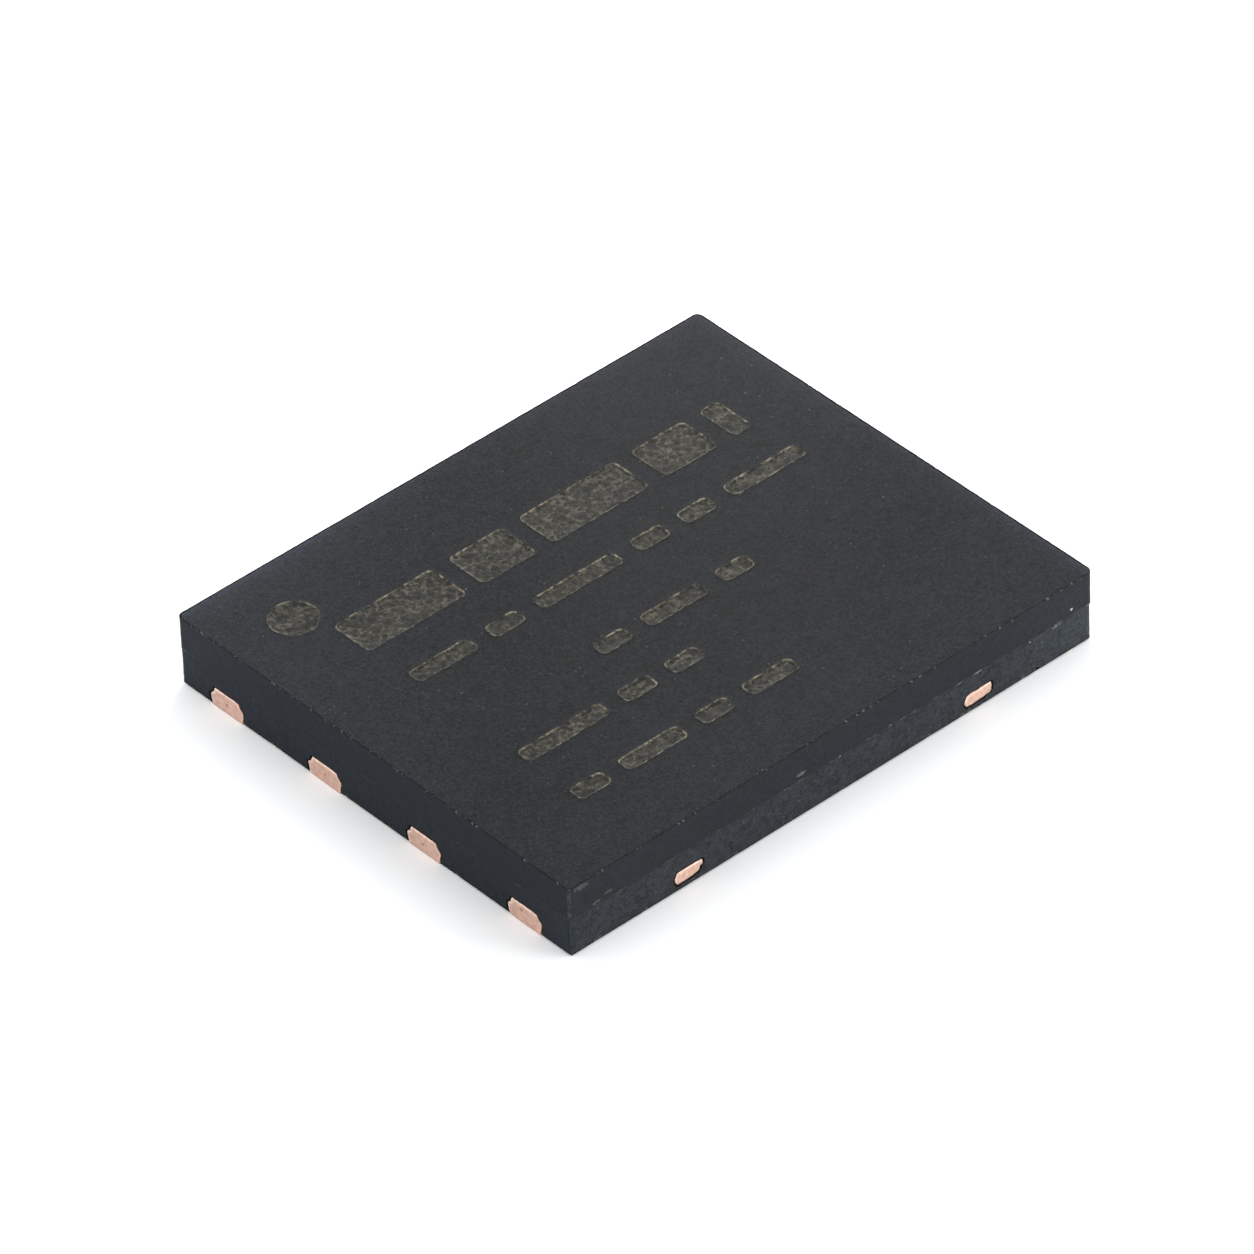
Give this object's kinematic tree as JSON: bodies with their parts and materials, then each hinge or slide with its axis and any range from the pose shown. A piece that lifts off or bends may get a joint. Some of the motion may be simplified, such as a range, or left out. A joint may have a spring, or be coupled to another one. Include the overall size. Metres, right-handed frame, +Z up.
{
  "type": "flash memory chip",
  "caption": "Surface-mount flash memory chip in a flat leadless rectangular package, with contacts along the short sides and a thermal pad underneath.",
  "frame": {"origin": "middle of the package in plan, on the seating plane of the contacts and thermal pad", "axes": "+X along the long side, +Y along the short side, +Z up out of the board. Contact 1 and the round dot are at the -X +Y corner"},
  "size_m": [0.006, 0.005, 0.0008],
  "materials": {
    "mold_compound": "matte, fine grained",
    "lead_frame": "saw-cut copper on the ends, matte tin on the soldering faces",
    "attach_film": "matte",
    "silicon": "polished",
    "bond_wire": "bright gold"
  },
  "bodies": {
    "root": {"mold_body": "mold_compound", "die_pad": "lead_frame", "contact_1": "lead_frame", "contact_2": "lead_frame", "contact_3": "lead_frame", "contact_4": "lead_frame", "contact_5": "lead_frame", "contact_6": "lead_frame", "contact_7": "lead_frame", "contact_8": "lead_frame", "die_attach_film": "attach_film", "memory_die": "silicon", "bond_wire_1": "bond_wire", "bond_wire_2": "bond_wire", "bond_wire_3": "bond_wire", "bond_wire_4": "bond_wire", "bond_wire_5": "bond_wire", "bond_wire_6": "bond_wire", "bond_wire_7": "bond_wire", "bond_wire_8": "bond_wire"}
  },
  "joints": []
}
